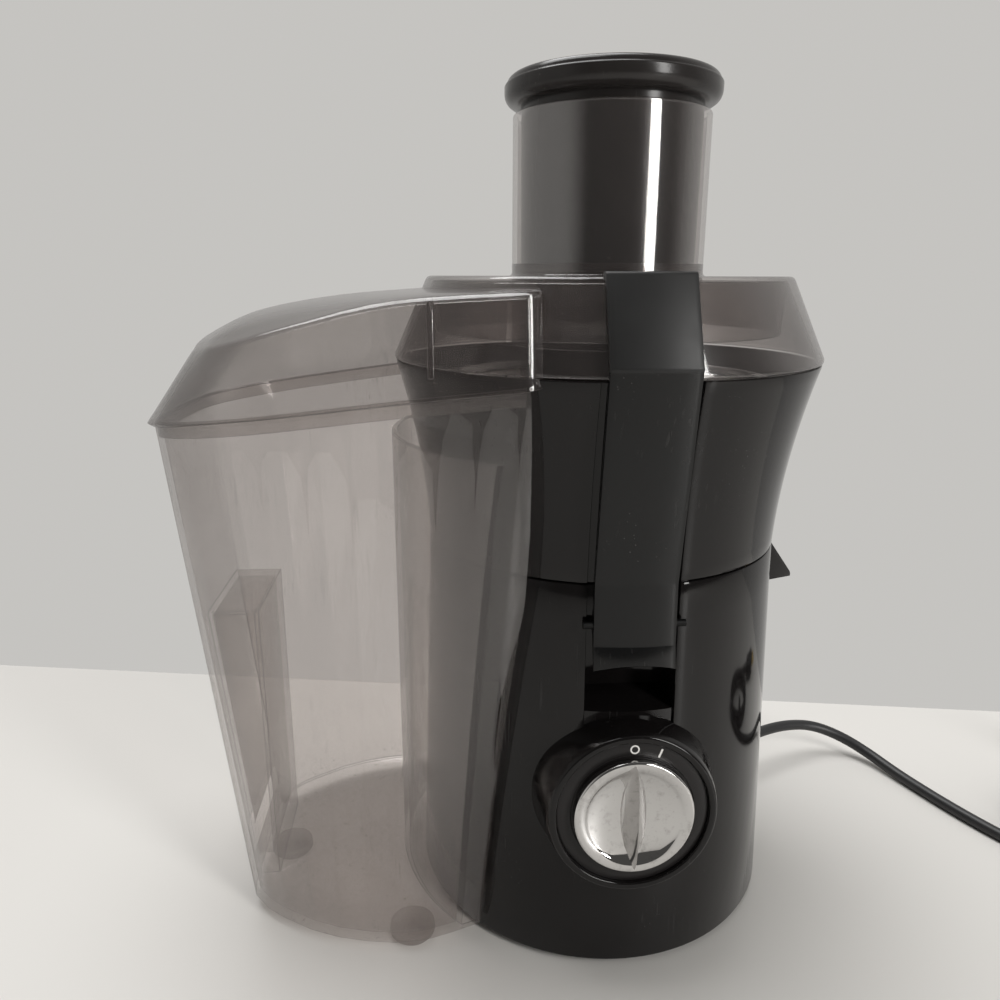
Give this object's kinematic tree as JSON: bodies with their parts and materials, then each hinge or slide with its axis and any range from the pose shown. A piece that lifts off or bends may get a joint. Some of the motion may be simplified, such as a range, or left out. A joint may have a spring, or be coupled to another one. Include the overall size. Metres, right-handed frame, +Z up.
{
  "type": "centrifugal juicer",
  "caption": "Upright centrifugal juicer with a wide feed chute, smoke-clear lid and side pulp bin, two over-lid latches and a turn switch.",
  "frame": {"origin": "on the table, on the motor axis", "axes": "+Z up along the motor axis, dial and front latch towards -Y, pulp bin towards -X, cord towards +X and +Y"},
  "size_m": [0.5137, 0.2033, 0.3745],
  "materials": {
    "black_gloss": "polished moulded plastic with fine scratches",
    "black_satin": "satin moulded plastic",
    "latch_black": "moulded plastic, satin at the top and polished below",
    "dial_black": "fine satin plastic",
    "mark_white": "printed mark",
    "pusher_black": "polished moulded plastic",
    "smoke_clear": "tinted transparent plastic, slightly scratched",
    "pad_clear": "soft translucent pad",
    "rubber": "matt moulded rubber",
    "chrome_plate": "bright chrome plating on plastic",
    "stainless": "pressed stainless steel",
    "stainless_mesh": "perforated stainless steel",
    "zinc_steel": "zinc plated pressed steel",
    "motor_steel": "stacked silicon steel laminations",
    "bearing_steel": "ground steel",
    "copper_wire": "enamelled copper wire",
    "copper_bar": "copper segments",
    "brass": "stamped brass",
    "cord_black": "flexible cord sheath"
  },
  "bodies": {
    "base": {"base_shell": "black_gloss", "base_bottom_plate": "black_satin", "base_feet": "rubber", "bottom_screws": "zinc_steel", "stator_core": "motor_steel", "field_windings": "copper_wire", "brush_holders": "brass", "motor_upper_bracket": "zinc_steel", "motor_lower_bracket": "zinc_steel", "motor_bolts": "zinc_steel", "motor_spacers": "zinc_steel", "upper_bearing": "bearing_steel", "lower_bearing": "bearing_steel", "shaft_seal": "rubber", "dial_collar": "black_gloss", "dial_face": "dial_black", "dial_marks": "mark_white", "rotary_switch": "black_satin", "latch_pins": "bearing_steel", "strain_relief": "cord_black", "power_cord": "cord_black", "cord_coil": "cord_black", "cord_tie": "cord_black", "plug": "cord_black", "plug_pins": "brass"},
    "rotor": {"motor_shaft": "bearing_steel", "armature": "motor_steel", "commutator": "copper_bar", "cooling_fan": "black_satin", "drive_coupling": "black_satin"},
    "dial_knob": {"knob": "chrome_plate", "knob_shaft": "bearing_steel"},
    "front_latch": {"front_latch": "latch_black"},
    "rear_latch": {"rear_latch": "latch_black"},
    "bowl": {"juice_bowl": "black_gloss"},
    "strainer": {"strainer_frame": "black_satin", "cutter_disc": "stainless", "strainer_mesh": "stainless_mesh", "strainer_rim": "black_satin"},
    "lid": {"lid": "smoke_clear"},
    "pusher": {"pusher_body": "pusher_black", "pusher_cap": "black_gloss"},
    "bin": {"pulp_bin": "smoke_clear", "bin_feet": "pad_clear"}
  },
  "joints": [
    {"name": "lid_lift", "type": "slide", "parent": "base", "child": "lid", "axis": [0, 0, 1], "range_m": [0, 0.07]},
    {"name": "front_latch_swing", "type": "hinge", "parent": "base", "child": "front_latch", "pos_m": [0, -0.0815, 0.16], "axis": [1, 0, 0], "range_deg": [0, 45]},
    {"name": "rear_latch_swing", "type": "hinge", "parent": "base", "child": "rear_latch", "pos_m": [0, 0.0815, 0.16], "axis": [-1, 0, 0], "range_deg": [0, 45]},
    {"name": "bowl_lift", "type": "slide", "parent": "base", "child": "bowl", "axis": [0, 0, 1], "range_m": [0, 0.035]},
    {"name": "pusher_slide", "type": "slide", "parent": "lid", "child": "pusher", "axis": [0, 0, 1], "range_m": [0, 0.14]},
    {"name": "rotor_spin", "type": "hinge", "parent": "base", "child": "rotor", "pos_m": [0, 0, 0.1], "axis": [0, 0, 1], "continuous": true},
    {"name": "strainer_spin", "type": "hinge", "parent": "bowl", "child": "strainer", "pos_m": [0, 0, 0.2], "axis": [0, 0, 1], "continuous": true},
    {"name": "bin_slide", "type": "slide", "parent": "base", "child": "bin", "axis": [-1, 0, 0], "range_m": [0, 0.12]},
    {"name": "knob_turn", "type": "hinge", "parent": "base", "child": "dial_knob", "pos_m": [0, -0.096, 0.0831], "axis": [0, -0.9984, 0.0558], "range_deg": [-22, 0]}
  ],
  "couplings": [
    {"joint": "front_latch_swing", "follows": "lid_lift", "rad_per_m": 11.2},
    {"joint": "rear_latch_swing", "follows": "lid_lift", "rad_per_m": 11.2},
    {"joint": "bowl_lift", "follows": "lid_lift", "ratio": 0.48},
    {"joint": "bin_slide", "follows": "lid_lift", "ratio": 1.7},
    {"joint": "strainer_spin", "follows": "rotor_spin", "ratio": 1}
  ]
}
